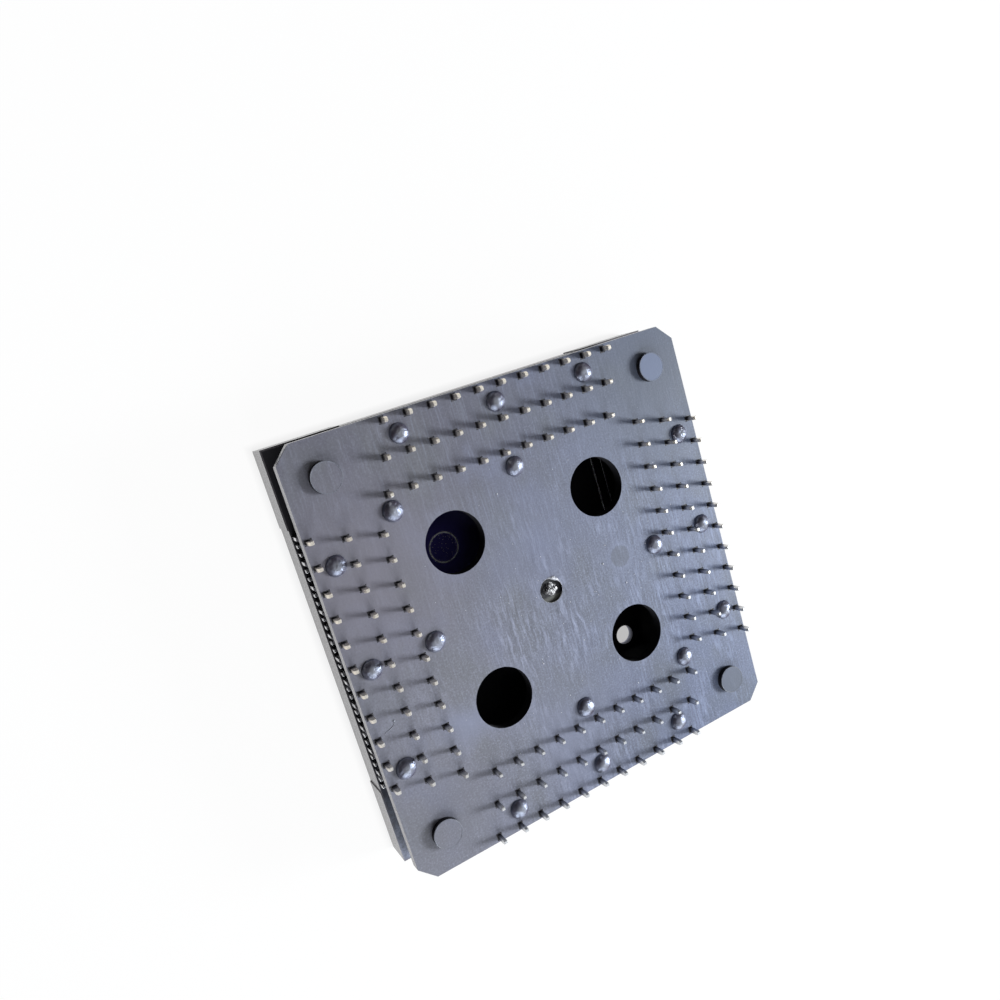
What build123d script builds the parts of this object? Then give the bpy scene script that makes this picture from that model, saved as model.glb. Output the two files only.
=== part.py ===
from build123d import *
import math
import os

# A through-hole socket for a fine-pitch quad flat package, lying on its loading face
# with its board side up. Lengths are in millimetres. The origin is the middle of the
# loading face, +Z points out of the board side and +Y towards the back side.
# Each side holds the same pattern, turned by a quarter turn: the distance from the
# middle of the socket is "out", and the distance along the side is "along".

# Contacts
PITCH = 0.635
TRIOS_PER_SIDE = 11
CONTACTS_PER_TRIO = 3
STOCK = 0.25
TAIL_WIDTH = 0.40
TAIL_LENGTH = 1.15
TIP_LENGTH = 0.20
TIP_WIDTH = 0.20
FOOT_HEIGHT = 0.40
PAD_REACH = 0.60
PAD_PROUD = 0.15
PAD_NOSE = 0.15

# Rows of solder tails
ROW_SPACING = 2.54
INNER_ROW_OFFSET = 1.27

# Base body
EDGE_MARGIN = 0.39
BAND_HEIGHT = 2.90
GAP_HEIGHT = 3.20
SIDE_RECESS = 0.08
SIDE_RECESS_MARGIN = 0.65
LEAD_RECESS_DEPTH = 1.00
LEAD_RECESS_MARGIN = 0.35
NEST_DEPTH = 0.80
NEST_MARGIN = 2.10
FLOOR_THICKNESS = 0.60
INNER_WALL = 1.60
PILLAR_SIDE = 3.00
SIGHT_HOLE_DIAMETER = 1.65
SIGHT_HOLE_PLACE = (7.80, -8.07)

# Tail plate
PLATE_THICKNESS = 1.00
CORNER_CHAMFER = 1.25
VENT_DIAMETER = 4.76
VENT_PLACE = 6.35
STANDOFF_DIAMETER = 2.30
STANDOFF_HEIGHT = 0.45
GATE_DIAMETER = 2.00
GATE_DEPTH = 0.25

# Stakes that are pressed into the body and hold the plate on it
STAKE_STEPS = 12.5
STAKE_WIDTH = 0.30
STAKE_LENGTH = 0.90
STAKE_DEPTH = 0.80
HEAD_DIAMETER = 1.50
HEAD_SHOULDER_DIAMETER = 1.20
HEAD_CROWN_DIAMETER = 0.60
HEAD_SHOULDER_HEIGHT = 0.22
HEAD_CROWN_HEIGHT = 0.16
HEAD_SIDES = 8

# Fits
GROOVE_CLEARANCE = 0.08
TAIL_HOLE_CLEARANCE = 0.10
STAKE_CLEARANCE = 0.04

# Places worked out from the sizes above
CONTACTS_PER_SIDE = TRIOS_PER_SIDE * CONTACTS_PER_TRIO
HALF_SPAN = (CONTACTS_PER_SIDE - 1) / 2 * PITCH
INNER_ROW = HALF_SPAN + INNER_ROW_OFFSET
MIDDLE_ROW = INNER_ROW + ROW_SPACING
OUTER_ROW = MIDDLE_ROW + ROW_SPACING
ROWS = (INNER_ROW, MIDDLE_ROW, OUTER_ROW)
HALF_SIDE = OUTER_ROW + EDGE_MARGIN
PLATE_BOTTOM = BAND_HEIGHT + GAP_HEIGHT
PLATE_TOP = PLATE_BOTTOM + PLATE_THICKNESS
TAIL_TIP = PLATE_TOP + TAIL_LENGTH
PAD_LEVEL = LEAD_RECESS_DEPTH - PAD_PROUD
LEG_OUT = MIDDLE_ROW - TAIL_WIDTH / 2
LEG_IN = LEG_OUT - PAD_REACH
GROOVE_IN = LEG_IN - GROOVE_CLEARANCE
GROOVE_OUT = MIDDLE_ROW + TAIL_WIDTH / 2 + GROOVE_CLEARANCE
GROOVE_HALF = HALF_SPAN + STOCK / 2 + GROOVE_CLEARANCE
LEAD_RECESS_HALF = GROOVE_OUT + LEAD_RECESS_MARGIN
NEST_HALF = GROOVE_IN - NEST_MARGIN
NEST_TOP = LEAD_RECESS_DEPTH + NEST_DEPTH
FLOOR_TOP = NEST_TOP + FLOOR_THICKNESS
OUTER_STAKES = MIDDLE_ROW + ROW_SPACING / 2
INNER_STAKES = INNER_ROW - ROW_SPACING / 2
WALL_OUT = INNER_STAKES + INNER_WALL / 2
WALL_IN = INNER_STAKES - INNER_WALL / 2
STAKE_ALONG = STAKE_STEPS * PITCH
QUARTER_TURNS = {"back": 0, "right": -90, "front": 180, "left": 90}


def block(half_x, half_y, bottom, top, out=0.0, along=0.0):
    """A box on the back side's axes, its middle at (along, out)."""
    middle = Pos(along, out, (bottom + top) / 2)
    return middle * Box(2 * half_x, 2 * half_y, top - bottom)


def on_each_side(shapes):
    """The back side's shapes, repeated round the socket by quarter turns."""
    turned = []
    for angle in QUARTER_TURNS.values():
        turned += [Rot(0, 0, angle) * shape for shape in shapes]
    return turned


def contact_places():
    """Each contact of a side as (trio, row, along), the inner row first in each trio."""
    places = []
    for trio in range(TRIOS_PER_SIDE):
        for row in range(CONTACTS_PER_TRIO):
            step = trio * CONTACTS_PER_TRIO + row
            places.append((trio, ROWS[row], step * PITCH - HALF_SPAN))
    return places


def at_each_stake(make):
    """What make gives for a stake at (along, out), seated in the level given third."""
    side = [(shift * STAKE_ALONG, OUTER_STAKES, BAND_HEIGHT) for shift in (-1, 0, 1)]
    side.append((0, INNER_STAKES, PLATE_BOTTOM))
    shapes = on_each_side([make(*place) for place in side])
    shapes.append(make(-INNER_STAKES, INNER_STAKES, PLATE_BOTTOM))
    shapes.append(make(INNER_STAKES, -INNER_STAKES, PLATE_BOTTOM))
    return shapes


def contact(row, along):
    """A stamped contact: tail up, foot on the body's ledge, leg down the groove to the pad."""
    tail_in = row - TAIL_WIDTH / 2
    tail_out = row + TAIL_WIDTH / 2
    foot_top = BAND_HEIGHT + FOOT_HEIGHT
    shoulder = TAIL_TIP - TIP_LENGTH
    tip_half = TIP_WIDTH / 2
    tip = [(tail_in, shoulder), (row - tip_half, TAIL_TIP), (row + tip_half, TAIL_TIP), (tail_out, shoulder)]
    leg_out = tail_out if row == MIDDLE_ROW else LEG_OUT
    pad = [(leg_out, PAD_LEVEL + PAD_NOSE), (leg_out - PAD_NOSE, PAD_LEVEL), (LEG_IN, PAD_LEVEL)]
    if row == OUTER_ROW:
        down = [(tail_out, BAND_HEIGHT), (LEG_OUT, BAND_HEIGHT)]
        up = [(LEG_IN, foot_top), (tail_in, foot_top)]
    elif row == INNER_ROW:
        down = [(tail_out, foot_top), (LEG_OUT, foot_top)]
        up = [(LEG_IN, BAND_HEIGHT), (tail_in, BAND_HEIGHT)]
    else:
        down = []
        up = [(LEG_IN, PAD_LEVEL + FOOT_HEIGHT), (tail_in, PAD_LEVEL + FOOT_HEIGHT)]
    outline = Polyline(*tip, *down, *pad, *up, close=True)
    face = Plane.YZ.offset(along) * make_face(outline)
    return extrude(face, amount=STOCK / 2, both=True)


def tapered(bottom_diameter, top_diameter, bottom, height):
    """One tier of a stake's head: a regular pyramid cut off flat."""
    flats_inset = (bottom_diameter - top_diameter) / 2 * math.cos(math.pi / HEAD_SIDES)
    lean = math.degrees(math.atan(flats_inset / height))
    tier = extrude(RegularPolygon(bottom_diameter / 2, HEAD_SIDES), amount=height, taper=lean)
    return Pos(0, 0, bottom) * tier


def shank(along, out, seat, top=PLATE_TOP):
    """The blade of a stake, from its pocket under the seat up to the given level."""
    return block(STAKE_WIDTH / 2, STAKE_LENGTH / 2, seat - STAKE_DEPTH, top, out, along)


def pocket(along, out, seat):
    """The pocket in the body that a stake is pressed into."""
    return shank(along, out, seat, seat)


def stake(along, out, seat):
    """A blade from the body through the plate, ending in a domed head."""
    crown_bottom = PLATE_TOP + HEAD_SHOULDER_HEIGHT
    shoulder = tapered(HEAD_DIAMETER, HEAD_SHOULDER_DIAMETER, PLATE_TOP, HEAD_SHOULDER_HEIGHT)
    crown = tapered(HEAD_SHOULDER_DIAMETER, HEAD_CROWN_DIAMETER, crown_bottom, HEAD_CROWN_HEIGHT)
    return shank(along, out, seat) + Pos(along, out, 0) * (shoulder + crown)


def make_body():
    """The moulded base: band, contact grooves, nest for the package, wall and pillars."""
    body = block(HALF_SIDE, HALF_SIDE, 0, BAND_HEIGHT)
    body -= block(LEAD_RECESS_HALF, LEAD_RECESS_HALF, 0, LEAD_RECESS_DEPTH)
    body -= block(NEST_HALF, NEST_HALF, LEAD_RECESS_DEPTH, NEST_TOP)
    body -= block(WALL_IN, WALL_IN, FLOOR_TOP, BAND_HEIGHT)
    groove_width = GROOVE_OUT - GROOVE_IN
    groove = block(GROOVE_HALF, groove_width / 2, 0, BAND_HEIGHT, GROOVE_IN + groove_width / 2)
    side_recess = block(HALF_SPAN + SIDE_RECESS_MARGIN, SIDE_RECESS, 0, BAND_HEIGHT, HALF_SIDE)
    body -= on_each_side([groove, side_recess])
    sight_hole = extrude(Circle(SIGHT_HOLE_DIAMETER / 2), amount=FLOOR_TOP)
    body -= Pos(*SIGHT_HOLE_PLACE, 0) * sight_hole
    wall = block(WALL_OUT, WALL_OUT, BAND_HEIGHT, PLATE_BOTTOM)
    body += wall - block(WALL_IN, WALL_IN, BAND_HEIGHT, PLATE_BOTTOM)
    pillar = block(PILLAR_SIDE / 2, PILLAR_SIDE / 2, BAND_HEIGHT, PLATE_BOTTOM, MIDDLE_ROW, MIDDLE_ROW)
    body += on_each_side([pillar])
    return body - at_each_stake(pocket)


def stake_hole(along, out, seat):
    """The outline of a stake's hole in the plate."""
    hole = Rectangle(STAKE_WIDTH + 2 * STAKE_CLEARANCE, STAKE_LENGTH + 2 * STAKE_CLEARANCE)
    return Pos(along, out) * hole


def make_plate():
    """The flat plate on the board side, which holds the tails to their pattern."""
    outline = chamfer(Rectangle(2 * HALF_SIDE, 2 * HALF_SIDE).vertices(), CORNER_CHAMFER)
    tail_hole = Rectangle(STOCK + 2 * TAIL_HOLE_CLEARANCE, TAIL_WIDTH + 2 * TAIL_HOLE_CLEARANCE)
    side_holes = [Pos(along, row) * tail_hole for trio, row, along in contact_places()]
    side_holes.append(Pos(VENT_PLACE, VENT_PLACE) * Circle(VENT_DIAMETER / 2))
    holes = on_each_side(side_holes) + at_each_stake(stake_hole)
    plate = Pos(0, 0, PLATE_BOTTOM) * extrude(outline - holes, amount=PLATE_THICKNESS)
    standoff = Circle(STANDOFF_DIAMETER / 2)
    standoff = Pos(MIDDLE_ROW, MIDDLE_ROW, PLATE_TOP) * extrude(standoff, amount=STANDOFF_HEIGHT)
    plate += on_each_side([standoff])
    gate = extrude(Circle(GATE_DIAMETER / 2), amount=GATE_DEPTH)
    return plate - Pos(0, 0, PLATE_TOP - GATE_DEPTH) * gate


os.makedirs("parts", exist_ok=True)
export_step(make_body(), "parts/base_body.step")
export_step(make_plate(), "parts/tail_plate.step")
export_step(Compound(children=at_each_stake(stake)), "parts/stakes.step")
for side, angle in QUARTER_TURNS.items():
    for trio in range(TRIOS_PER_SIDE):
        solids = [contact(row, along) for number, row, along in contact_places() if number == trio]
        group = Rot(0, 0, angle) * Compound(children=solids)
        export_step(group, f"parts/contacts_{side}_{trio + 1:02d}.step")
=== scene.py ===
import math
import random

import bmesh
import bpy
from mathutils import Matrix, Vector


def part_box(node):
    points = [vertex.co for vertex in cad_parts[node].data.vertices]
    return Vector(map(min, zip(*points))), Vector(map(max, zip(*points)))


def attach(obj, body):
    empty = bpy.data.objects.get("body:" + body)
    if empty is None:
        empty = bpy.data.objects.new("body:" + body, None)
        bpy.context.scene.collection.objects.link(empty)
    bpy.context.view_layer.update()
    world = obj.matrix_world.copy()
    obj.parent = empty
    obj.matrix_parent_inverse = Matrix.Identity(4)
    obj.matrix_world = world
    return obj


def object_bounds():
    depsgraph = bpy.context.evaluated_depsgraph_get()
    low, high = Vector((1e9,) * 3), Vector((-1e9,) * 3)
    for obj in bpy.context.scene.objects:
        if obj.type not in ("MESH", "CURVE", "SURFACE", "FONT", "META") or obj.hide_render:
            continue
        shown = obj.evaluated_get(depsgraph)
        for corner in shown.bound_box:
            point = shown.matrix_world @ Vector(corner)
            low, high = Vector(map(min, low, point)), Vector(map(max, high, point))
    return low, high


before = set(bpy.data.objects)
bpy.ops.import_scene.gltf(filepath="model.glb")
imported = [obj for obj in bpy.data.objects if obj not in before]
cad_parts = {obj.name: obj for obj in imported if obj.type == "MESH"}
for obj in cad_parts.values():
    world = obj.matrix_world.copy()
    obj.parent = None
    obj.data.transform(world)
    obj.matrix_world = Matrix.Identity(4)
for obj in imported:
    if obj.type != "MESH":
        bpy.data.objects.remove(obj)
cad_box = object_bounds()

# The object's own sizes, in metres. The origin is the middle of the loading face, the
# board side is up, and "out" and "along" mean the same as in the part's source.
MM = 0.001
PITCH = 0.635 * MM
CONTACTS_PER_SIDE = 33
STOCK = 0.25 * MM
TAIL_WIDTH = 0.40 * MM
ROW_SPACING = 2.54 * MM
PLATE_THICKNESS = 1.00 * MM
CHAMFER = 1.25 * MM
LEDGE = 2.90 * MM
FLOOR_TOP = 2.40 * MM
NEST_TOP = 1.80 * MM
STANDOFF_HEIGHT = 0.45 * MM
STANDOFF_RADIUS = 1.15 * MM
VENT_PLACE = 6.35 * MM
GATE_RADIUS = 1.00 * MM
GATE_DEPTH = 0.25 * MM
CAVITY_HALF = 9.36 * MM
SIGHT_HOLE = (7.80 * MM, -8.07 * MM)
SIGHT_HOLE_RADIUS = 0.825 * MM
HALF_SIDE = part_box("tail_plate")[1].x
PLATE_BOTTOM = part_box("tail_plate")[0].z
PLATE_TOP = PLATE_BOTTOM + PLATE_THICKNESS
TAIL_TIP = cad_box[1].z
HALF_SPAN = (CONTACTS_PER_SIDE - 1) / 2 * PITCH
INNER_ROW = HALF_SPAN + ROW_SPACING / 2
MIDDLE_ROW = INNER_ROW + ROW_SPACING
OUTER_ROW = MIDDLE_ROW + ROW_SPACING
ROWS = (INNER_ROW, MIDDLE_ROW, OUTER_ROW)
OUTER_STAKES = MIDDLE_ROW + ROW_SPACING / 2
INNER_STAKES = INNER_ROW - ROW_SPACING / 2
STAKE_ALONG = 12.5 * PITCH
QUARTER_TURNS = (0, -90, 180, 90)

# Small forms start this far below the surface that they sit on or close
SUNK = 0.01 * MM

# Domes over the stakes' heads
DOME_RADIUS = 0.80 * MM
DOME_HEIGHT = 0.46 * MM
DOME_SEGMENTS = 40
DOME_RINGS = 10
DOME_SWELL = (0.96, 1.03)
DOME_OVALITY = 0.02
DOME_FLATNESS = 2.5
DOME_STEEPNESS = 0.75
DENTS_PER_DOME = 2
DENT_SHARES = (0.3, 0.8)
DENT_DEPTH = 0.05 * DOME_HEIGHT
DENT_FADE_ROUND = 3
DENT_FADE_UP = 14

# The contacts' bent-up ends, and the flash round the tails, dark as painted shade
END_HEIGHT = 0.68 * MM
END_WIDTH = 0.28 * MM
END_HEIGHT_SHARES = (0.92, 1.0)
END_ROUNDING = 0.04 * MM
SHARP_ANGLE = 40
HOLE_GAP = 0.10 * MM
SEAT_DEPTH = 0.03 * MM
SEAT_REACH_SHARES = (0.45, 1.0)
SEAT_STEPS = 12

# Hairlines in the cavity and rims on the discs
CIRCLE_STEPS = 96
RING_PLACE = (-5.74 * MM, 5.32 * MM)
RING_RADIUS = 1.20 * MM
RING_WIDTH = 0.065 * MM
RING_HEIGHT = 0.04 * MM
CAVITY_LINES = (
    (CAVITY_HALF - 0.12 * MM, FLOOR_TOP, 0.12 * MM),
    (CAVITY_HALF, FLOOR_TOP + 1.3 * MM, 0.06 * MM),
)
CAVITY_LINE_ENDS = (1.8 * MM, 8.9 * MM)
CAVITY_LINE_STEPS = 90
RIM_WIDTH = 0.04 * MM
RIM_HEIGHT = 0.022 * MM

# The gate's scar and burr. Sizes without MM are in millimetres.
SCAR_PLACE = (0.02 * MM, 0.06 * MM)
SCAR_RADIUS = 0.56 * MM
SCAR_HEIGHT = 0.34 * MM
SCAR_LUMP = 0.16
BURR_DIRECTION = 60
BURR_FOCUS = 9
BURR_WIDTHS = (0.015, 0.30)
BURR_HEIGHTS = (0.004, 0.14)
BURR_OVERHANG = 0.20 * MM
BURR_SHARES = (0, 0.3, 0.7, 1.0)

# Flash, a scratch and grit. Places and sizes without MM are in millimetres.
FLASH_STEPS = 60
FLASH_REACH = 0.16 * MM
FLASH_DEPTH = 0.26 * MM
FLASH_TIP_DROPS = (0.03, 0.10)
SCRATCH = ((-14.95, -4.20), (-15.00, -4.46), (-15.33, -4.64), (-15.67, -4.73), (-15.89, -4.82))
SCRATCH_WIDTH = 0.055 * MM
SCRATCH_HEIGHT = 0.03 * MM
BEAD_SIZE = (0.07 * MM, 0.07 * MM, 0.04 * MM)
BEAD_LUMP = 0.08
GRIT_SEEN = (
    (-2.06, 8.65), (-2.45, -5.22), (6.66, -2.01), (6.06, -3.31),
    (9.54, -0.38), (5.63, 1.64), (5.03, 0.25),
)
GRIT_SEEN_SIZES = (0.055, 0.085)
GRIT_SCATTERED = 110
GRIT_SIZES = (0.018, 0.042)
GRIT_SPREAD = 0.92
GRIT_THICKEST = (7 * MM, -2 * MM)
GRIT_IN_CAVITY = 60
GRIT_IN_CAVITY_SIZES = (0.014, 0.038)
GRIT_LUMP = 0.15
CLEAR_OF_VENT = 2.5 * MM
CLEAR_OF_GATE = 1.4 * MM
CLEAR_OF_TAILS = 1.2 * MM

# The plate's slow changes of tone: place, reach (both in millimetres), share and colour
TONES = (
    ((14.5, 13.5), 7.5, 0.75, (0.150, 0.160, 0.170)),
    ((-9.5, -6.9), 2.1, 0.74, (0.270, 0.300, 0.390)),
    ((-14.0, 6.5), 7.0, 0.78, (0.210, 0.202, 0.225)),
    ((-2.0, -10.5), 5.0, 0.60, (0.245, 0.262, 0.320)),
    ((-12.5, -13.5), 6.0, 0.45, (0.165, 0.168, 0.185)),
    ((-1.0, 4.6), 4.2, 0.60, (0.225, 0.245, 0.320)),
)
TONE_WANDER = 7 * MM
MARK_PLACE = (6.75 * MM, 0.28 * MM)
MARK_RADIUS = 0.92 * MM

# The camera, at the photograph's angle
CAMERA_PLACE = Vector((-27.00, 19.05, 65.05)) * MM
CAMERA_AIM = Vector((-2.22, 6.68, 7.10)) * MM
CAMERA_UP = Vector((0.339, 0.939, -0.056))
CAMERA_CLIP = (1 * MM, 10)
FOCAL_PIXELS = 851.1
PICTURE_SIDE = 1000
SENSOR = 36.0
PICTURE_CENTRE = (502.6, 519.3)

# The light: a window on the right, one in front, dim panels between and above, and a dim room
LIGHT_DISTANCE = 0.30
KEY = {"direction": (0.93, -0.28, 0.56), "power": 1.14, "size": 0.085}
FILL = {"direction": (-0.13, -0.90, 0.44), "power": 0.80, "size": 0.22}
BETWEEN = {"direction": (0.62, -0.80, 0.42), "power": 0.14, "size": 0.28}
CEILING = {"direction": (0.30, -0.20, 1.0), "power": 0.11, "size": 0.40}
DAYLIGHT = (0.90, 0.95, 1.0)
ROOM = (1.0, 0.97, 0.95, 1.0)
ROOM_FADE = {"From Min": -0.6, "From Max": 1.0, "To Min": 0.03, "To Max": 0.24}
WHITE = (1, 1, 1, 1)
FLOOR_SIDE = 3.0
FLOOR_GREY = (0.92, 0.92, 0.92)
FLOOR_SHARE = 0.96
SHADED_SHARE = 0.50
SHADE_FROM = 15.5 * MM
SHADE_TO = 17.5 * MM


def spun(turn):
    """A turn about the object's upright middle line, in degrees."""
    return Matrix.Rotation(math.radians(turn), 4, "Z")


def stake_places():
    """The eighteen stakes as (x, y)."""
    on_a_side = [(shift * STAKE_ALONG, OUTER_STAKES) for shift in (-1, 0, 1)]
    on_a_side.append((0, INNER_STAKES))
    places = []
    for turn in QUARTER_TURNS:
        places += [(spun(turn) @ Vector((along, out, 0))).to_2d() for along, out in on_a_side]
    places.append(Vector((-INNER_STAKES, INNER_STAKES)))
    places.append(Vector((INNER_STAKES, -INNER_STAKES)))
    return places


def piece(name, form, material):
    """A finished piece of the object from a bmesh, riding on the socket."""
    mesh = bpy.data.meshes.new(name)
    form.to_mesh(mesh)
    form.free()
    mesh.materials.append(material)
    made = bpy.data.objects.new(name, mesh)
    bpy.context.collection.objects.link(made)
    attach(made, "root")
    return made


# Materials
class Shader:
    """A material's node tree, with one short call for each node."""

    def __init__(self, name):
        self.material = bpy.data.materials.new(name)
        self.material.use_nodes = True
        self.tree = self.material.node_tree
        self.surface = self.tree.nodes["Principled BSDF"]
        self.place = self.node("ShaderNodeTexCoord").outputs["Object"]
        self.x, self.y, self.z = self.axes(self.place)

    def node(self, kind, settings=None, **inputs):
        made = self.tree.nodes.new(kind)
        for key, value in (settings or {}).items():
            setattr(made, key, value)
        for key, value in inputs.items():
            self.put(made.inputs[key.replace("_", " ")], value)
        return made

    def put(self, socket, value):
        """Links a socket to another, or sets it. Colours are given without their alpha."""
        if isinstance(value, bpy.types.NodeSocket):
            self.tree.links.new(value, socket)
        elif socket.type == "RGBA":
            socket.default_value = (*value, 1)
        else:
            socket.default_value = value

    def set(self, **inputs):
        for key, value in inputs.items():
            self.put(self.surface.inputs[key.replace("_", " ")], value)

    def axes(self, vector):
        made = self.node("ShaderNodeSeparateXYZ", Vector=vector)
        return made.outputs["X"], made.outputs["Y"], made.outputs["Z"]

    def stretched(self, along_x, along_y, along_z):
        """The place on the object, measured in features per millimetre."""
        scale = (along_x / MM, along_y / MM, along_z / MM)
        return self.node("ShaderNodeMapping", Vector=self.place, Scale=scale).outputs["Vector"]

    def noise(self, place, detail=3.0, roughness=0.55):
        settings = {"Scale": 1.0, "Detail": detail, "Roughness": roughness}
        return self.node("ShaderNodeTexNoise", Vector=place, **settings).outputs["Fac"]

    def ramp(self, value, low, high, bottom=0.0, top=1.0):
        """Goes from bottom to top while the value goes from low to high."""
        ends = {"From_Min": low, "From_Max": high, "To_Min": bottom, "To_Max": top}
        return self.node("ShaderNodeMapRange", Value=value, **ends).outputs["Result"]

    def blend(self, share, one, other):
        """The first colour, with the given share of the other."""
        # Of the mix node's sockets, 6 and 7 take colours, and 2 gives one.
        made = self.node("ShaderNodeMix", {"data_type": "RGBA"})
        self.put(made.inputs["Factor"], share)
        self.put(made.inputs[6], one)
        self.put(made.inputs[7], other)
        return made.outputs[2]

    def math(self, operation, one, other=0.0):
        made = self.node("ShaderNodeMath", {"operation": operation})
        self.put(made.inputs[0], one)
        self.put(made.inputs[1], other)
        return made.outputs[0]

    def vectors(self, operation, one, other):
        made = self.node("ShaderNodeVectorMath", {"operation": operation})
        self.put(made.inputs[0], one)
        self.put(made.inputs[1], other)
        return made.outputs[0]

    def plus(self, one, other):
        return self.math("ADD", one, other)

    def minus(self, one, other):
        return self.math("SUBTRACT", one, other)

    def larger(self, one, other):
        return self.math("MAXIMUM", one, other)

    def absolute(self, value):
        return self.math("ABSOLUTE", value)

    def times(self, *factors):
        product = factors[0]
        for factor in factors[1:]:
            product = self.math("MULTIPLY", product, factor)
        return product

    def facing_up(self):
        """One where the object's surface faces up, nought where it doesn't."""
        normal = self.node("ShaderNodeTexCoord").outputs["Normal"]
        return self.ramp(self.axes(normal)[2], 0.5, 0.9)

    def squareness(self):
        """How far out of the middle the place is, on square contours."""
        return self.larger(self.absolute(self.x), self.absolute(self.y))

    def distance(self, x, y):
        """How far the place is from an upright line at (x, y)."""
        across = self.math("POWER", self.absolute(self.minus(self.x, x)), 2.0)
        along = self.math("POWER", self.absolute(self.minus(self.y, y)), 2.0)
        return self.math("SQRT", self.plus(across, along))

    def bump(self, height, strength, distance):
        made = self.node("ShaderNodeBump", Height=height, Strength=strength, Distance=distance)
        self.set(Normal=made.outputs["Normal"])


def ledge_painted_light(shader, skin):
    """Where light is painted on the base body's ledge: pale and mottled, at its lower left end.
    """
    low_end = shader.ramp(shader.y, -8.5 * MM, -15.5 * MM)
    left = shader.ramp(shader.x, -13.0 * MM, -14.0 * MM)
    ledge = shader.ramp(shader.z, LEDGE - 0.02 * MM, LEDGE - 0.01 * MM)
    fine = shader.ramp(skin, 0.35, 0.65, 0.55, 1.0)
    coarse = shader.ramp(shader.noise(shader.stretched(1.5, 1.5, 1.0)), 0.35, 0.60, 0.35, 1.0)
    mottled = shader.times(fine, coarse)
    return shader.times(low_end, left, ledge, mottled, shader.facing_up())


def moulded_black():
    """The base body: black, painted darker still inside the cavity as shade, glossy on its band
    and painted paler there as a reflection of the floor, with painted light on its ledge, its
    cavity floor and its sight hole's wall.
    """
    shader = Shader("moulded_black")
    skin = shader.noise(shader.stretched(9, 9, 9), detail=4.0)
    cloud = shader.noise(shader.stretched(0.35, 0.35, 0.5))
    base = shader.blend(cloud, (0.016, 0.015, 0.019), (0.034, 0.032, 0.038))
    square = shader.squareness()
    band = shader.ramp(square, HALF_SIDE - 0.15 * MM, HALF_SIDE - 0.10 * MM)
    # The band is painted pale pinkish grey: a painted reflection of the white floor
    base = shader.blend(band, base, (0.172, 0.158, 0.170))
    # Painted light, pale bluish, on the ledge's lower left end
    base = shader.blend(ledge_painted_light(shader, skin), base, (0.27, 0.295, 0.39))

    # Inside the cavity, above the nest, the body is painted near black: painted shade
    inside = shader.ramp(square, CAVITY_HALF + 0.6 * MM, CAVITY_HALF + 0.4 * MM)
    above = shader.ramp(shader.z, NEST_TOP + 0.01 * MM, NEST_TOP + 0.02 * MM)
    base = shader.blend(shader.times(inside, above), base, (0.003, 0.002, 0.006))
    # A painted pool of dim blue light on the cavity floor round the ring
    near_ring = shader.ramp(shader.distance(*RING_PLACE), 3.8 * MM, 1.2 * MM)
    painted_light_pool = shader.times(near_ring, above, shader.facing_up())
    base = shader.blend(painted_light_pool, base, (0.046, 0.036, 0.230))

    # The sight hole's wall is painted pale bluish white, brightest low down: painted light coming
    # in through the hole, with a metallic shine
    hole = shader.distance(*SIGHT_HOLE)
    wall = shader.ramp(hole, SIGHT_HOLE_RADIUS + 0.03 * MM, SIGHT_HOLE_RADIUS + 0.01 * MM)
    lit = shader.ramp(shader.z, FLOOR_TOP + 0.02 * MM, NEST_TOP, 0.25, 1.0)
    base = shader.blend(shader.times(wall, lit), base, (0.72, 0.75, 0.90))

    dull = shader.ramp(skin, 0.3, 0.7, 0.34, 0.52)
    polished = shader.larger(shader.times(band, 0.22), shader.times(wall, 0.28))
    deep = shader.times(inside, above, 0.50)
    shader.set(Base_Color=base, Metallic=shader.times(wall, lit, 0.6))
    shader.set(Roughness=shader.plus(shader.minus(dull, polished), deep))
    shader.bump(skin, 0.20, 0.01 * MM)
    return shader.material


def ground_with_painted_sheen(shader, cloud):
    """The plate's grey, clouded, with a painted sheen: darkest at its upper left, paler and
    bluish toward its lower right.
    """
    # Paler toward the front and bluish toward the right: a painted sheen
    lower = shader.ramp(shader.y, 15.5 * MM, -4.0 * MM)
    base = shader.blend(lower, (0.150, 0.150, 0.175), (0.205, 0.210, 0.238))
    slope = shader.minus(shader.x, shader.times(shader.y, 0.4))
    painted_sheen = shader.times(shader.ramp(slope, -9.0 * MM, 14.0 * MM), 0.85)
    base = shader.blend(painted_sheen, base, (0.195, 0.220, 0.295))
    base = shader.blend(shader.ramp(cloud, 0.48, 0.66, 0.0, 0.60), base, (0.165, 0.172, 0.172))
    return shader.blend(shader.ramp(cloud, 0.46, 0.34, 0.0, 0.45), base, (0.225, 0.245, 0.325))


def plate_streaks(shader):
    """A noise drawn out along the plate and made to sway a little."""
    sway = shader.noise(shader.stretched(0.5, 0.5, 0.5), detail=2.0)
    aside = shader.vectors("MULTIPLY", sway, (2.2, 0.5, 0.0))
    place = shader.vectors("ADD", shader.stretched(3.8, 0.46, 1.0), aside)
    return shader.noise(place, detail=6.0, roughness=0.72)


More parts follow.
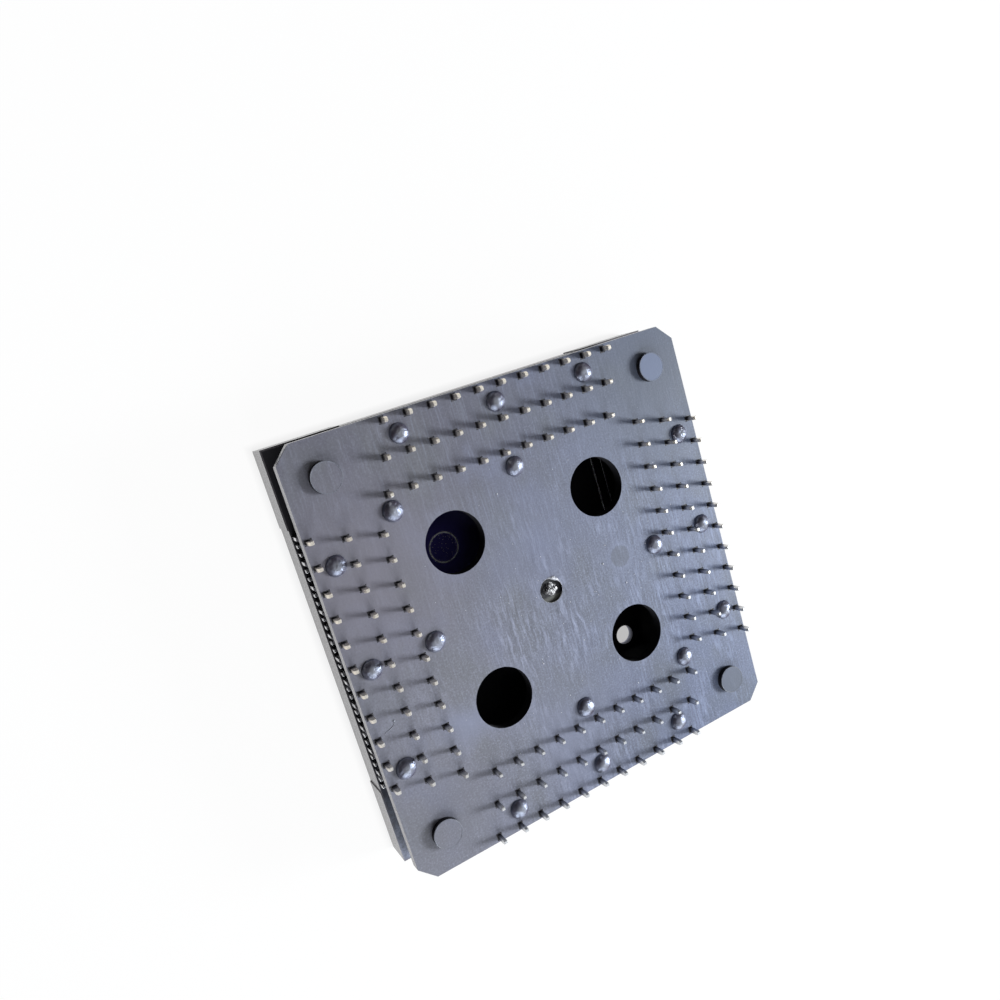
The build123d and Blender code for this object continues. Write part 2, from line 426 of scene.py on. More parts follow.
def rubbed_plate_with_sheen(shader, base, streaks):
    """The plate's colour with the marks of rubbing: patches of streaks, their pale streaks also a
    painted bluish sheen, and fine lines.
    """
    rubbed = shader.noise(shader.stretched(0.36, 0.22, 0.5), detail=4.0, roughness=0.6)
    to_right = shader.ramp(shader.x, -9.0 * MM, -1.0 * MM)
    to_front = shader.ramp(shader.y, 11.0 * MM, 1.0 * MM)
    middle = shader.ramp(shader.times(to_right, to_front), 0.0, 1.0, 0.20, 1.0)
    patches = shader.times(shader.ramp(rubbed, 0.44, 0.60), middle)
    # The pale streaks are rub marks, also painted pale and bluish as a sheen
    pale = shader.times(shader.ramp(streaks, 0.49, 0.68), patches, 0.80)
    base = shader.blend(pale, base, (0.490, 0.530, 0.650))
    sunk = shader.times(shader.ramp(streaks, 0.48, 0.32), patches, 0.60)
    base = shader.blend(sunk, base, (0.105, 0.112, 0.130))
    lines = shader.noise(shader.stretched(7.0, 0.30, 1.0), detail=3.0)
    from_left = shader.ramp(shader.x, -14.0 * MM, -4.0 * MM, 0.25, 1.0)
    fine = shader.times(from_left, shader.ramp(lines, 0.50, 0.72, 0.0, 0.32))
    return shader.blend(fine, base, (0.350, 0.380, 0.460))


def toned_plate(shader, base, cloud):
    """The plate's colour with its slow changes of tone, the right discs' own among them."""
    shift = shader.times(shader.minus(cloud, 0.5), TONE_WANDER)
    for (x, y), reach, share, tone in TONES:
        away = shader.plus(shader.distance(x * MM, y * MM), shift)
        fade = shader.ramp(away, 1.35 * reach * MM, 0.1 * reach * MM, 0.0, share)
        base = shader.blend(fade, base, tone)
    raised = shader.ramp(shader.z, PLATE_TOP + 0.1 * MM, PLATE_TOP + 0.3 * MM)
    on_disc = shader.times(raised, shader.ramp(shader.x, 0.0, 5.0 * MM), 0.80)
    backward = shader.ramp(shader.y, -5.0 * MM, 5.0 * MM)
    disc_tone = shader.blend(backward, (0.155, 0.165, 0.184), (0.235, 0.268, 0.350))
    return shader.blend(on_disc, base, disc_tone)


def marked_plate(shader, base):
    """The plate's colour with the faint round mark of a pin of the mould, and its halo."""
    mark = shader.distance(*MARK_PLACE)
    pressed = shader.ramp(mark, MARK_RADIUS, MARK_RADIUS - 0.12 * MM, 0.0, 0.55)
    base = shader.blend(pressed, base, (0.155, 0.163, 0.180))
    halo = shader.ramp(mark, MARK_RADIUS + 0.55 * MM, MARK_RADIUS + 0.10 * MM)
    outside = shader.ramp(mark, MARK_RADIUS - 0.05 * MM, MARK_RADIUS + 0.08 * MM)
    return shader.blend(shader.times(halo, outside, 0.30), base, (0.320, 0.345, 0.430))


def outer_edge(shader, up):
    """One on the plate's outer sides and cut corners, nought elsewhere."""
    slanted = shader.plus(shader.absolute(shader.x), shader.absolute(shader.y))
    corner = 2 * HALF_SIDE - CHAMFER
    cut_corner = shader.ramp(slanted, corner - 0.05 * MM, corner - 0.03 * MM)
    side = shader.ramp(shader.squareness(), HALF_SIDE - 0.03 * MM, HALF_SIDE - 0.02 * MM)
    return shader.times(shader.larger(side, cut_corner), shader.minus(1.0, up))


def plate_grey():
    """The tail plate: worn grey on top with a painted sheen, painted black as shade in its holes,
    dimple and on its discs' sides, with painted light on the dimple's lower lip, glossy at its
    outer edge.
    """
    shader = Shader("plate_grey")
    cloud = shader.noise(shader.stretched(0.20, 0.16, 0.3), detail=3.0)
    streaks = plate_streaks(shader)
    base = rubbed_plate_with_sheen(shader, ground_with_painted_sheen(shader, cloud), streaks)

    grain = shader.noise(shader.stretched(6.5, 6.5, 6.5), detail=3.0, roughness=0.7)
    grainy = shader.ramp(shader.minus(shader.x, shader.y), -14.0 * MM, 4.0 * MM, 0.30, 1.0)
    specks = shader.times(grainy, shader.ramp(grain, 0.52, 0.75, 0.0, 0.72))
    base = shader.blend(specks, base, (0.410, 0.430, 0.490))
    base = shader.blend(shader.ramp(grain, 0.46, 0.26, 0.0, 0.55), base, (0.105, 0.110, 0.125))

    base = marked_plate(shader, toned_plate(shader, base, cloud))
    # Darker and bluer toward the right: painted shade against the stronger light on that side,
    # and a painted blue sheen
    across = shader.ramp(shader.x, -9.0 * MM, 13.0 * MM)
    painted_light_tint = shader.blend(across, (0.91, 0.89, 0.95), (0.58, 0.635, 0.78))
    base = shader.vectors("MULTIPLY", base, painted_light_tint)

    up = shader.facing_up()
    # What lies below the top or doesn't face up is painted near black: painted shade in the
    # holes, the dimple and on the discs' sides
    raised = shader.ramp(shader.z, PLATE_TOP - 0.12 * MM, PLATE_TOP - 0.04 * MM)
    colour = shader.blend(shader.times(up, raised), (0.006, 0.005, 0.009), base)
    # Painted light on the dimple's lower lip
    in_dimple = shader.ramp(shader.distance(0.0, 0.0), GATE_RADIUS + 0.02 * MM, GATE_RADIUS)
    painted_lit_lip = shader.times(in_dimple, shader.ramp(shader.y, -0.46 * MM, -0.62 * MM), 0.9)
    colour = shader.blend(painted_lit_lip, colour, (0.135, 0.135, 0.120))
    edge = outer_edge(shader, up)
    shader.set(Base_Color=shader.blend(edge, colour, (0.21, 0.20, 0.22)))

    dull = shader.ramp(streaks, 0.3, 0.7, 0.38, 0.56)
    polished = shader.times(edge, 0.22)
    hidden = shader.times(shader.minus(1.0, up), shader.minus(1.0, edge), 0.45)
    shader.set(Roughness=shader.plus(shader.minus(dull, polished), hidden))
    shader.bump(shader.plus(streaks, shader.times(grain, grainy, 0.8)), 0.45, 0.02 * MM)
    return shader.material


def melted_black():
    """The stakes' heads: feet painted grey as a painted reflection, glossy black flanks and a
    crown worn grey, all rippled.
    """
    shader = Shader("melted_black")
    ripple = shader.noise(shader.stretched(2.3, 2.3, 2.3), detail=3.0)
    stain = shader.noise(shader.stretched(2.5, 2.5, 2.5), detail=3.0)
    flank = shader.blend(stain, (0.018, 0.004, 0.012), (0.032, 0.016, 0.028))
    # The feet are painted grey like the plate: a painted reflection where the steep edge would
    # mirror the dark room
    foot = shader.ramp(shader.z, PLATE_TOP + 0.17 * MM, PLATE_TOP + 0.04 * MM, 0.0, 0.85)
    flank = shader.blend(foot, flank, (0.100, 0.104, 0.125))
    crown = shader.blend(stain, (0.100, 0.088, 0.084), (0.170, 0.158, 0.150))
    worn = shader.ramp(shader.z, PLATE_TOP + 0.36 * MM, PLATE_TOP + 0.46 * MM)
    shader.set(Base_Color=shader.blend(worn, flank, crown))
    shader.set(Roughness=shader.ramp(ripple, 0.3, 0.7, 0.36, 0.50))
    shader.set(IOR=2.1, Specular_IOR_Level=1.0, Specular_Tint=(0.72, 0.80, 1.0))
    shader.bump(ripple, 0.9, 0.09 * MM)
    return shader.material


def plated_metal():
    """The stamped contacts: bright low in the gap and painted dark higher in it as shade, painted
    dark on the tails as shade, darkest at their roots and toward the upper left, pale at their
    tips.
    """
    shader = Shader("plated_metal")
    slope = shader.minus(shader.times(shader.x, 0.3), shader.y)
    far = shader.ramp(slope, -6.0 * MM, 14.0 * MM)
    grain = shader.noise(shader.stretched(20, 20, 3), detail=2.0)
    patch = shader.noise(shader.stretched(1.2, 1.2, 0.8))
    broken = shader.noise(shader.stretched(3.5, 3.5, 2.5), detail=3.0)

    mottle = shader.ramp(broken, 0.38, 0.52)
    bright = shader.blend(mottle, (0.52, 0.52, 0.56), (0.95, 0.95, 0.95))
    # Higher in the gap, under the plate, the metal is painted dark: painted shade
    painted_gap_shade = shader.ramp(shader.z, LEDGE + 0.85 * MM, LEDGE + 1.25 * MM)
    bright = shader.blend(painted_gap_shade, bright, (0.075, 0.070, 0.085))

    # The tails' shafts are painted dark, browner and darker toward the upper left: painted shade
    # on their unlit sides
    warm = shader.blend(patch, (0.34, 0.30, 0.28), (0.13, 0.11, 0.12))
    cool = shader.blend(patch, (0.50, 0.50, 0.52), (0.20, 0.20, 0.22))
    painted_shade_shaft = shader.blend(far, warm, cool)
    # Painted shade at the tails' roots, darkest next to the plate
    painted_root_shade = shader.ramp(shader.z, PLATE_TOP + 0.50 * MM, PLATE_TOP + 0.10 * MM, 0.0, 0.85)
    painted_shade_shaft = shader.blend(painted_root_shade, painted_shade_shaft, (0.035, 0.030, 0.034))

    cream = shader.blend(patch, (0.98, 0.93, 0.82), (0.80, 0.70, 0.58))
    silver = shader.blend(patch, (0.82, 0.83, 0.84), (0.55, 0.56, 0.58))
    pale = shader.blend(far, cream, silver)
    height = shader.minus(shader.z, shader.times(far, 0.30 * MM))
    at_tip = shader.ramp(height, TAIL_TIP - 0.90 * MM, TAIL_TIP - 0.55 * MM)
    above_plate = shader.ramp(shader.z, PLATE_TOP - 0.05 * MM, PLATE_TOP)
    shaft = shader.blend(above_plate, bright, painted_shade_shaft)
    shader.set(Base_Color=shader.blend(at_tip, shaft, pale))

    # Where the gap's metal is painted dark it is also dull and not metallic, so the painted shade
    # stays dark
    below_plate = shader.ramp(shader.z, PLATE_TOP, PLATE_TOP - 0.05 * MM)
    gap = shader.ramp(shader.z, LEDGE + 0.95 * MM, LEDGE + 1.25 * MM)
    dim = shader.times(gap, below_plate)
    coated = shader.larger(dim, shader.times(at_tip, 0.28))
    shader.set(Metallic=shader.minus(1.0, coated))
    dull = shader.ramp(grain, 0.3, 0.7, 0.24, 0.42)
    shader.set(Roughness=shader.plus(dull, shader.times(dim, 0.5)))
    shader.bump(grain, 0.25, 0.01 * MM)
    return shader.material


def painted_glint_line():
    """Thin lines of moulding edges inside the cavity, painted bright as glints."""
    shader = Shader("painted_glint_line")
    broken = shader.noise(shader.stretched(1.6, 1.6, 1.6), detail=4.0, roughness=0.7)
    share = shader.ramp(broken, 0.30, 0.52)
    shader.set(Base_Color=shader.blend(share, (0.40, 0.39, 0.56), (1.0, 1.0, 1.0)))
    shader.set(Roughness=shader.ramp(broken, 0.3, 0.7, 0.25, 0.5))
    return shader.material


def mottled_plastic(name, dark, light):
    """Torn edges, rims, scratches, grit and the tails' seats: the same plastic in two mottled
    colours, whitened where it broke, with a painted glint on the gate's burr and painted shade in
    the seats.
    """
    shader = Shader(name)
    grain = shader.noise(shader.stretched(9, 9, 9), detail=3.0)
    shader.set(Base_Color=shader.blend(shader.ramp(grain, 0.35, 0.65), dark, light))
    shader.set(Roughness=shader.ramp(grain, 0.3, 0.7, 0.35, 0.6))
    shader.bump(grain, 0.5, 0.03 * MM)
    return shader.material


def torn_plastic_and_glints():
    """The gate's scar: black plastic torn into glossy facets, painted bright in patches as glints
    and darker toward its left as shade.
    """
    shader = Shader("torn_plastic_and_glints")
    rips = shader.noise(shader.stretched(4.5, 3.0, 4.5), detail=4.0, roughness=0.65)
    # The bright patches are painted glints, fewer toward the left as painted shade on the scar's
    # unlit side
    to_right = shader.ramp(shader.x, -0.45 * MM, 0.05 * MM, 0.15, 1.0)
    share = shader.times(shader.ramp(rips, 0.46, 0.58), to_right)
    shader.set(Base_Color=shader.blend(share, (0.035, 0.030, 0.036), (0.80, 0.78, 0.78)))
    shader.set(Roughness=shader.ramp(rips, 0.3, 0.7, 0.16, 0.34))
    shader.set(Specular_IOR_Level=0.9)
    shader.bump(rips, 0.9, 0.10 * MM)
    return shader.material


# Shapes
def loop(form, points):
    """New points in a mesh, one after another."""
    return [form.verts.new(point) for point in points]


def skin_between(form, lower, upper):
    """Quads between two closed loops of the same length."""
    for turn in range(len(lower)):
        after = (turn + 1) % len(lower)
        form.faces.new((lower[turn], lower[after], upper[after], upper[turn]))


def closed_bar(form, sections):
    """A closed skin along a row of sections, capped at both ends."""
    for lower, upper in zip(sections, sections[1:]):
        skin_between(form, lower, upper)
    form.faces.new(list(reversed(sections[0])))
    form.faces.new(sections[-1])


def circle(x, y, z, radius):
    """Points on a level circle."""
    angles = [2 * math.pi * step / CIRCLE_STEPS for step in range(CIRCLE_STEPS)]
    return [(x + radius * math.cos(angle), y + radius * math.sin(angle), z) for angle in angles]


def ridge_ring(form, x, y, base, radius, width, height):
    """A low ridge on a circle, its section a flat triangle."""
    outer = loop(form, circle(x, y, base, radius + width))
    crest = loop(form, circle(x, y, base + height, radius))
    inner = loop(form, circle(x, y, base, radius - width))
    skin_between(form, outer, crest)
    skin_between(form, crest, inner)
    skin_between(form, inner, outer)


def bar(form, low, high, turn):
    """A closed box between two corners, turned about the object's middle."""
    made = bmesh.ops.create_cube(form, size=1.0)
    size = Vector(high) - Vector(low)
    middle = (Vector(high) + Vector(low)) / 2
    place = spun(turn) @ Matrix.Translation(middle) @ Matrix.Diagonal((*size, 1))
    bmesh.ops.transform(form, matrix=place, verts=made["verts"])


def soften(made, width):
    """A small rounding on a piece's edges, worked into its mesh."""
    form = bmesh.new()
    form.from_mesh(made.data)
    bend = math.radians(SHARP_ANGLE)
    sharp = [e for e in form.edges if len(e.link_faces) == 2 and e.calc_face_angle() > bend]
    bmesh.ops.bevel(form, geom=sharp, offset=width, segments=2, affect="EDGES", profile=0.6)
    form.to_mesh(made.data)
    form.free()


def lumpy_ball(form, middle, radii, lump, chance, subdivisions):
    """A rough closed lump with the given half sizes: waves all over it, and a jitter."""
    made = bmesh.ops.create_icosphere(form, subdivisions=subdivisions, radius=1.0)
    phases = [chance.uniform(0, 6.28) for _ in range(3)]
    for vert in made["verts"]:
        way = vert.co.normalized()
        wave = math.sin(5 * way.x + phases[0]) * math.cos(4 * way.y + phases[1])
        wave += 0.6 * math.sin(9 * way.z + phases[2])
        size = 1 + lump * wave + chance.uniform(-0.3, 0.3) * lump
        reach = Vector((way.x * radii[0], way.y * radii[1], way.z * radii[2]))
        vert.co = Vector(middle) + reach * size


def dome(form, x, y, chance):
    """A smooth closed dome at (x, y), a little oval, with shallow dents."""
    lean = chance.uniform(0, 2 * math.pi)
    swell = chance.uniform(*DOME_SWELL)
    dents = []
    for _ in range(DENTS_PER_DOME):
        dents.append((chance.uniform(0, 2 * math.pi), chance.uniform(*DENT_SHARES)))
    rings = []
    for step in range(DOME_RINGS):
        share = step / DOME_RINGS
        points = []
        for turn in range(DOME_SEGMENTS):
            angle = 2 * math.pi * turn / DOME_SEGMENTS
            radius = DOME_RADIUS * swell * (1 - share)
            radius *= 1 + DOME_OVALITY * math.cos(2 * (angle - lean))
            height = DOME_HEIGHT * (1 - (1 - share) ** DOME_FLATNESS) ** DOME_STEEPNESS
            for dent_angle, dent_share in dents:
                away = (math.cos(angle - dent_angle) - 1) * DENT_FADE_ROUND
                away -= (share - dent_share) ** 2 * DENT_FADE_UP
                height -= DENT_DEPTH * math.exp(away)
            across, along = radius * math.cos(angle), radius * math.sin(angle)
            points.append((x + across, y + along, PLATE_TOP + height))
        rings.append(loop(form, points))
    top = form.verts.new((x, y, PLATE_TOP + DOME_HEIGHT))
    for lower, upper in zip(rings, rings[1:]):
        skin_between(form, lower, upper)
    for turn in range(DOME_SEGMENTS):
        form.faces.new((rings[-1][turn], rings[-1][(turn + 1) % DOME_SEGMENTS], top))
    form.faces.new(list(reversed(rings[0])))


def stake_domes(material):
    """A dome over each staked head, smooth but for its flat underside."""
    chance = random.Random(7)
    form = bmesh.new()
    for x, y in stake_places():
        dome(form, x, y, chance)
    for face in form.faces:
        face.smooth = len(face.verts) < DOME_SEGMENTS
    return piece("stake_domes", form, material)


def contact_places():
    """Each contact's side, as a turn, with its place along the side and its row."""
    for turn in QUARTER_TURNS:
        for step in range(CONTACTS_PER_SIDE):
            yield turn, step * PITCH - HALF_SPAN, ROWS[step % len(ROWS)]


def contact_ends(material):
    """The bent-up ends of the inner and middle rows' contacts, at the ledge's outer edge."""
    chance = random.Random(11)
    form = bmesh.new()
    outer = OUTER_ROW + TAIL_WIDTH / 2
    for turn, along, row in contact_places():
        if row == OUTER_ROW:
            continue
        top = LEDGE + END_HEIGHT * chance.uniform(*END_HEIGHT_SHARES)
        low = (along - STOCK / 2, outer - END_WIDTH, LEDGE)
        bar(form, low, (along + STOCK / 2, outer, top), turn)
    made = piece("contact_ends", form, material)
    soften(made, END_ROUNDING)
    return made


def tail_seat(form, middle, turn, chance):
    """Ragged flash round one tail, from the edge of its hole inward."""
    half_width = STOCK / 2 + HOLE_GAP
    half_length = TAIL_WIDTH / 2 + HOLE_GAP
    drops = (SUNK, SUNK, SUNK + SEAT_DEPTH, SUNK + SEAT_DEPTH)
    rings = ([], [], [], [])
    for corner in range(SEAT_STEPS):
        angle = 2 * math.pi * corner / SEAT_STEPS
        way = Vector((math.cos(angle), math.sin(angle), 0))
        way /= max(abs(way.x), abs(way.y))
        reach = HOLE_GAP * chance.uniform(*SEAT_REACH_SHARES)
        hole = Vector((way.x * half_width, way.y * half_length, 0))
        inner = Vector((way.x * (half_width - reach), way.y * (half_length - reach), 0))
        for ring, point, drop in zip(rings, (hole, inner, inner, hole), drops):
            place = middle + point + Vector((0, 0, PLATE_TOP - drop))
            ring.append(spun(turn) @ place)
    loops = [loop(form, ring) for ring in rings]
    for lower, upper in zip(loops, loops[1:] + loops[:1]):
        skin_between(form, lower, upper)


def tail_seats(material):
    """Thin ragged flash round each tail, just below the plate's top, coloured dark as painted
    shade at the tails' roots.
    """
    chance = random.Random(17)
    form = bmesh.new()
    for turn, along, row in contact_places():
        tail_seat(form, Vector((along, row, 0)), turn, chance)
    return piece("tail_seats", form, material)


def cavity_ring(material):
    """The thin circle that a pin of the mould left on the cavity's floor."""
    form = bmesh.new()
    ridge_ring(form, *RING_PLACE, FLOOR_TOP, RING_RADIUS, RING_WIDTH, RING_HEIGHT)
    return piece("cavity_ring", form, material)


def cavity_lines(material):
    """Two thin broken ridges along the cavity's right wall, seen through the upper right hole."""
    chance = random.Random(5)
    form = bmesh.new()
    start, end = CAVITY_LINE_ENDS
    for x, z, width in CAVITY_LINES:
        sections = []
        for step in range(CAVITY_LINE_STEPS + 1):
            share = step / CAVITY_LINE_STEPS
            y = start + (end - start) * share
            swell = width * chance.uniform(0.5, 1.0) * (0.35 + 0.65 * math.sin(math.pi * share))
            sections.append(loop(form, [(x, y, z), (x - swell, y, z), (x, y, z + swell)]))
        closed_bar(form, sections)
    return piece("cavity_lines", form, material)


def disc_rims(material):
    """A fine worn rim round the top of each corner disc."""
    form = bmesh.new()
    level = PLATE_TOP + STANDOFF_HEIGHT - SUNK
    for x in (-MIDDLE_ROW, MIDDLE_ROW):
        for y in (-MIDDLE_ROW, MIDDLE_ROW):
            ridge_ring(form, x, y, level, STANDOFF_RADIUS - RIM_WIDTH, RIM_WIDTH, RIM_HEIGHT)
    return piece("disc_rims", form, material)


def gate_scar(material):
    """The torn stub of plastic in the dimple in the middle of the plate."""
    form = bmesh.new()
    middle = (*SCAR_PLACE, PLATE_TOP - GATE_DEPTH)
    radii = (SCAR_RADIUS, 0.85 * SCAR_RADIUS, SCAR_HEIGHT)
    lumpy_ball(form, middle, radii, SCAR_LUMP, random.Random(3), 4)
    return piece("gate_scar", form, material)


def gate_burr(material):
    """The raised burr round the dimple, highest where the stub was torn off, its pale colour a
    painted glint.
    """
    chance = random.Random(4)
    form = bmesh.new()
    rings = ([], [], [], [])
    thin, wide = BURR_WIDTHS
    low, high = BURR_HEIGHTS
    for step in range(CIRCLE_STEPS):
        angle = 2 * math.pi * step / CIRCLE_STEPS
        near = math.exp((math.cos(angle - math.radians(BURR_DIRECTION)) - 1) * BURR_FOCUS)
        width = (thin + wide * near) * MM * chance.uniform(0.8, 1.2)
        height = (low + high * near) * MM * chance.uniform(0.7, 1.1)
        lifts = (-0.05 * MM, height, 0.6 * height, -SUNK)
        for ring, share, lift in zip(rings, BURR_SHARES, lifts):
            radius = GATE_RADIUS - 0.02 * MM + width * share - BURR_OVERHANG * near
            ring.append((radius * math.cos(angle), radius * math.sin(angle), PLATE_TOP + lift))
    loops = [loop(form, ring) for ring in rings]
    for outer, inner in zip(loops[1:], loops):
        skin_between(form, outer, inner)
    skin_between(form, loops[0], loops[-1])
    for face in form.faces:
        face.smooth = True
    return piece("gate_burr", form, material)


def corner_flash(material):
    """Torn flash along the upper left cut corner of the plate."""
    chance = random.Random(9)
    form = bmesh.new()
    start = Vector((-HALF_SIDE, HALF_SIDE - CHAMFER))
    end = Vector((-HALF_SIDE + CHAMFER, HALF_SIDE))
    outward = Vector((-1, 1)).normalized()
    sections = []
    for step in range(FLASH_STEPS + 1):
        # Long at the left end, short at the right one, and next to nothing at the very ends
        share = step / FLASH_STEPS
        reach = FLASH_REACH * (0.25 + 0.75 * (1 - share) ** 0.5) * chance.uniform(0.45, 1.0)
        reach *= min(1.0, 6 * share + 0.02, 6 * (1 - share) + 0.02)
        foot = start.lerp(end, share) - outward * 0.02 * MM
        drop = chance.uniform(*FLASH_TIP_DROPS) * MM
        tip = (*(foot + outward * reach), PLATE_TOP - drop)
        upper_foot = (*foot, PLATE_TOP - SUNK)
        lower_foot = (*foot, PLATE_TOP - FLASH_DEPTH)
        sections.append(loop(form, [upper_foot, tip, lower_foot]))
    closed_bar(form, sections)
    return piece("corner_flash", form, material)


def scratch(material):
    """A fine hair of lifted plastic near the left edge, with a bead at its upper end."""
    form = bmesh.new()
    points = [Vector((x * MM, y * MM)) for x, y in SCRATCH]
    crest = PLATE_TOP + SCRATCH_HEIGHT
    sections = []
    for number, point in enumerate(points):
        before = points[max(number - 1, 0)]
        after = points[min(number + 1, len(points) - 1)]
        across = (after - before).orthogonal().normalized() * SCRATCH_WIDTH / 2
        left = (*(point - across), PLATE_TOP)
        right = (*(point + across), PLATE_TOP)
        sections.append(loop(form, [left, (*point, crest), right]))
    closed_bar(form, sections)
    lumpy_ball(form, (*points[0], crest), BEAD_SIZE, BEAD_LUMP, random.Random(2), 2)
    return piece("scratch", form, material)


def speck(form, x, y, floor, size, chance):
    """A flat grain of grit lying on a level."""
    radii = (size, size, size / 2)
    lumpy_ball(form, (x, y, floor + size / 3), radii, GRIT_LUMP, chance, 1)


def grit(material):
    """Grit on the plate, thickest on its right half, and in the upper left hole."""
    chance = random.Random(21)
    form = bmesh.new()
    for x, y in GRIT_SEEN:
        speck(form, x * MM, y * MM, PLATE_TOP, chance.uniform(*GRIT_SEEN_SIZES) * MM, chance)
    placed = 0
    while placed < GRIT_SCATTERED:
        x = chance.triangular(-HALF_SIDE, HALF_SIDE, GRIT_THICKEST[0]) * GRIT_SPREAD
        y = chance.triangular(-HALF_SIDE, HALF_SIDE, GRIT_THICKEST[1]) * GRIT_SPREAD
        size = chance.uniform(*GRIT_SIZES) * MM
        off_vents = math.hypot(abs(x) - VENT_PLACE, abs(y) - VENT_PLACE) > CLEAR_OF_VENT
        off_gate = math.hypot(x, y) > CLEAR_OF_GATE
        off_tails = max(abs(x), abs(y)) < MIDDLE_ROW - CLEAR_OF_TAILS
        if off_vents and off_gate and off_tails:
            speck(form, x, y, PLATE_TOP, size, chance)
            placed += 1
    for _ in range(GRIT_IN_CAVITY):
        angle = chance.uniform(0, 2 * math.pi)
        away = RING_RADIUS * chance.uniform(0, 1) ** 0.6
        size = chance.uniform(*GRIT_IN_CAVITY_SIZES) * MM
        x = RING_PLACE[0] + away * math.cos(angle)
        y = RING_PLACE[1] + away * math.sin(angle)
        speck(form, x, y, FLOOR_TOP, size, chance)
    return piece("grit", form, material)


# The stage
def make_floor():
    """A white floor that takes the object's shadow, and is less white under the object: a painted
    shadow.
    """
    form = bmesh.new()
    bmesh.ops.create_grid(form, x_segments=1, y_segments=1, size=FLOOR_SIDE / 2)
    mesh = bpy.data.meshes.new("floor")
    form.to_mesh(mesh)
    form.free()
    floor = bpy.data.objects.new("floor", mesh)
    bpy.context.collection.objects.link(floor)
    shader = Shader("floor_white")
    shader.set(Base_Color=FLOOR_GREY, Roughness=0.9)
    path = shader.node("ShaderNodeLightPath").outputs
    seen = shader.larger(path["Is Camera Ray"], path["Is Glossy Ray"])
    # Less of the white shows under the object: a painted shadow there
    share = shader.ramp(shader.squareness(), SHADE_FROM, SHADE_TO, SHADED_SHARE, FLOOR_SHARE)
    mix = shader.node("ShaderNodeMixShader")
    shader.put(mix.inputs[0], shader.times(seen, share))
    shader.put(mix.inputs[1], shader.surface.outputs[0])
    shader.put(mix.inputs[2], shader.node("ShaderNodeEmission").outputs[0])
    shader.put(shader.tree.nodes["Material Output"].inputs["Surface"], mix.outputs[0])
    mesh.materials.append(shader.material)


def make_light(name, direction, power, size):
    """A soft square lamp in the given direction, aimed at the object."""
    lamp = bpy.data.lights.new(name, "AREA")
    lamp.energy = power
    lamp.size = size
    lamp.color = DAYLIGHT
    made = bpy.data.objects.new(name, lamp)
    bpy.context.collection.objects.link(made)
    towards = Vector(direction).normalized()
    made.location = towards * LIGHT_DISTANCE
    made.rotation_mode = "QUATERNION"
    made.rotation_quaternion = (-towards).to_track_quat("-Z", "Y")


def make_room():
    """A dim room, darkest at the left and the back, seen as plain white by the camera."""
    world = bpy.data.worlds.new("room")
    bpy.context.scene.world = world
    world.use_nodes = True
    tree = world.node_tree
    room = tree.nodes["Background"]
    room.inputs["Color"].default_value = ROOM
    towards = tree.nodes.new("ShaderNodeSeparateXYZ")
    place = tree.nodes.new("ShaderNodeTexCoord").outputs["Generated"]
    tree.links.new(place, towards.inputs[0])
    side = tree.nodes.new("ShaderNodeMath")
    side.operation = "SUBTRACT"
    tree.links.new(towards.outputs["X"], side.inputs[0])
    tree.links.new(towards.outputs["Y"], side.inputs[1])
    fade = tree.nodes.new("ShaderNodeMapRange")
    tree.links.new(side.outputs[0], fade.inputs["Value"])
    for name, value in ROOM_FADE.items():
        fade.inputs[name].default_value = value
    tree.links.new(fade.outputs[0], room.inputs["Strength"])
    white = tree.nodes.new("ShaderNodeBackground")
    white.inputs["Color"].default_value = WHITE
    path = tree.nodes.new("ShaderNodeLightPath")
    mix = tree.nodes.new("ShaderNodeMixShader")
    tree.links.new(path.outputs["Is Camera Ray"], mix.inputs[0])
    tree.links.new(room.outputs[0], mix.inputs[1])
    tree.links.new(white.outputs[0], mix.inputs[2])
    tree.links.new(mix.outputs[0], tree.nodes["World Output"].inputs["Surface"])


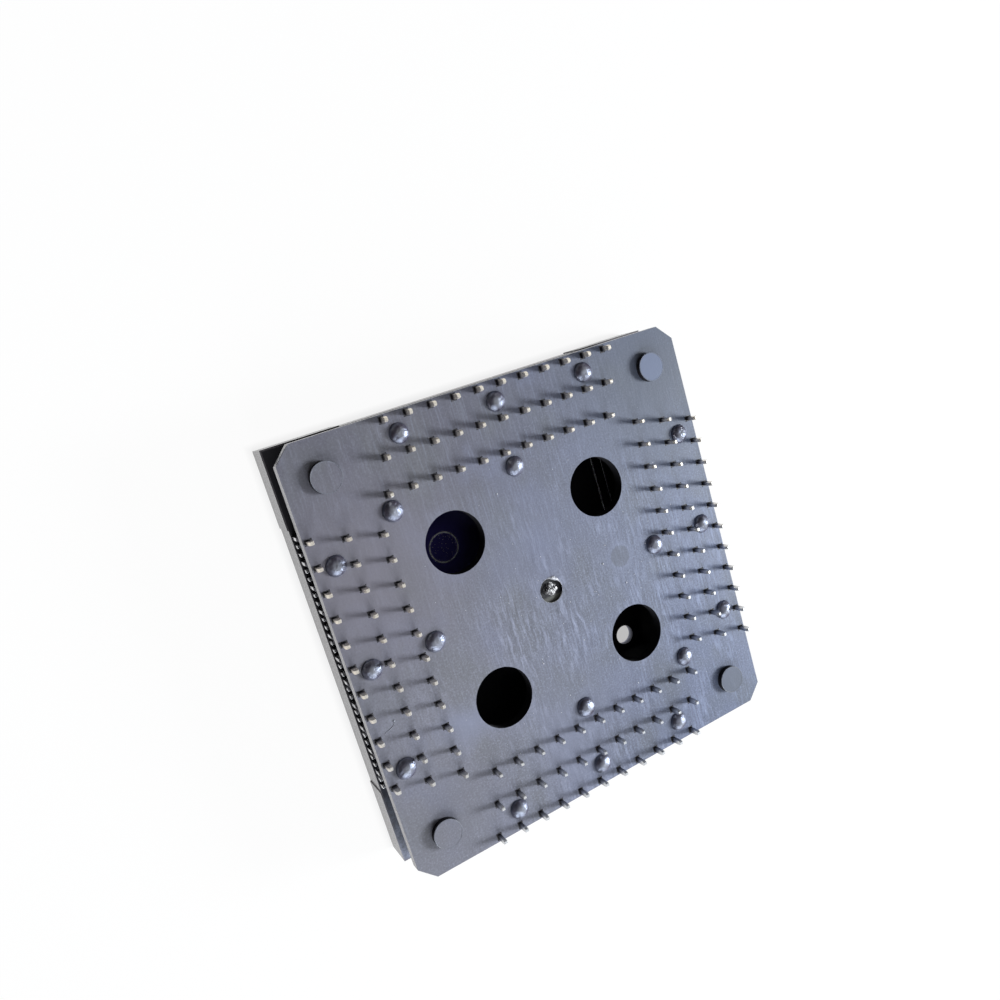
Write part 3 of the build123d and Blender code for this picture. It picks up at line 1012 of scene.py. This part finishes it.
def make_camera():
    """The camera that the photograph was fitted with."""
    camera = bpy.data.objects.new("camera", bpy.data.cameras.new("camera"))
    bpy.context.collection.objects.link(camera)
    ahead = (CAMERA_AIM - CAMERA_PLACE).normalized()
    right = ahead.cross(CAMERA_UP).normalized()
    above = right.cross(ahead)
    turn = Matrix((right, above, -ahead)).transposed()
    camera.matrix_world = Matrix.Translation(CAMERA_PLACE) @ turn.to_4x4()
    camera.data.sensor_width = SENSOR
    camera.data.lens = FOCAL_PIXELS * SENSOR / PICTURE_SIDE
    camera.data.shift_x = (PICTURE_SIDE / 2 - PICTURE_CENTRE[0]) / PICTURE_SIDE
    camera.data.shift_y = (PICTURE_CENTRE[1] - PICTURE_SIDE / 2) / PICTURE_SIDE
    camera.data.clip_start, camera.data.clip_end = CAMERA_CLIP
    bpy.context.scene.camera = camera


bpy.context.scene.view_settings.view_transform = "Standard"
make_floor()
make_room()
make_light("key", **KEY)
make_light("fill", **FILL)
make_light("between", **BETWEEN)
make_light("ceiling", **CEILING)
make_camera()

BLACK = moulded_black()
GREY = plate_grey()
MELTED = melted_black()
METAL = plated_metal()
PAINTED_GLINT = painted_glint_line()
# Pale plastic for torn flash and grit; on the gate's burr its paleness is a painted glint
PALE_WEAR_AND_GLINT = mottled_plastic("pale_wear_and_glint", (0.38, 0.38, 0.42), (0.80, 0.80, 0.84))
RIM = mottled_plastic("rim_grey", (0.110, 0.116, 0.138), (0.190, 0.205, 0.25))
HAIR = mottled_plastic("hair_grey", (0.26, 0.27, 0.31), (0.38, 0.40, 0.46))
# The seats are dark as painted shade at the tails' roots
SEAT_SHADE = mottled_plastic("seat_painted_shade", (0.030, 0.028, 0.032), (0.110, 0.110, 0.122))
TORN = torn_plastic_and_glints()

for node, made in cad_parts.items():
    material = {"base_body": BLACK, "tail_plate": GREY, "stakes": MELTED}.get(node, METAL)
    made.data.materials.clear()
    made.data.materials.append(material)

stake_domes(MELTED)
contact_ends(METAL)
tail_seats(SEAT_SHADE)
# The cavity's ring and lines are painted bright as glints
cavity_ring(PAINTED_GLINT)
cavity_lines(PAINTED_GLINT)
disc_rims(RIM)
gate_scar(TORN)
gate_burr(PALE_WEAR_AND_GLINT)
corner_flash(PALE_WEAR_AND_GLINT)
scratch(HAIR)
grit(PALE_WEAR_AND_GLINT)
